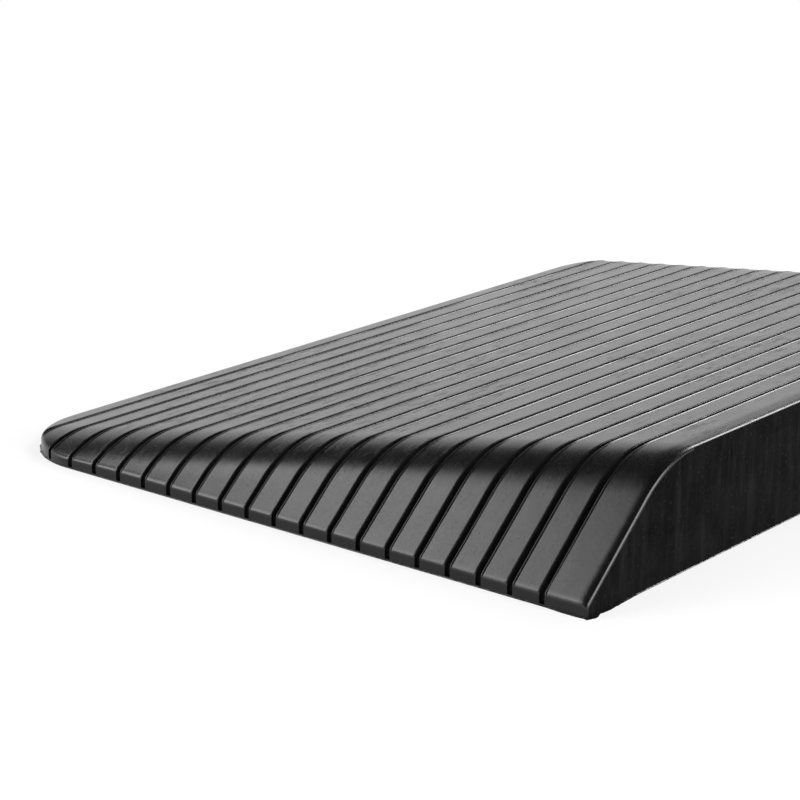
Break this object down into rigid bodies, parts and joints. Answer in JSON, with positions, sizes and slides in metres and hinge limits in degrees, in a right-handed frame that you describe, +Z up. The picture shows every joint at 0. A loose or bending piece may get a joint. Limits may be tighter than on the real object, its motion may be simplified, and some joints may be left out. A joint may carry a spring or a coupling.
{
  "type": "threshold ramp",
  "caption": "Black moulded-rubber wheelchair threshold ramp with cross grooves on a gentle slope, flared sides, thin rounded nose and tall plain back, taped down underneath.",
  "frame": {"origin": "middle of the underside's bounding rectangle, on the floor", "axes": "+X across the doorway along the grooves, +Y up the slope towards the threshold face, +Z up"},
  "size_m": [0.9, 0.63, 0.0997],
  "materials": {
    "moulded_rubber": "matt black moulded rubber with a faint sheen",
    "mounting_tape": "grey double-sided foam tape"
  },
  "bodies": {
    "root": {"ramp_body": "moulded_rubber", "front_tape": "mounting_tape", "rear_tape": "mounting_tape", "left_side_tape": "mounting_tape", "right_side_tape": "mounting_tape", "left_rib_tape": "mounting_tape", "centre_rib_tape": "mounting_tape", "right_rib_tape": "mounting_tape"}
  },
  "joints": []
}
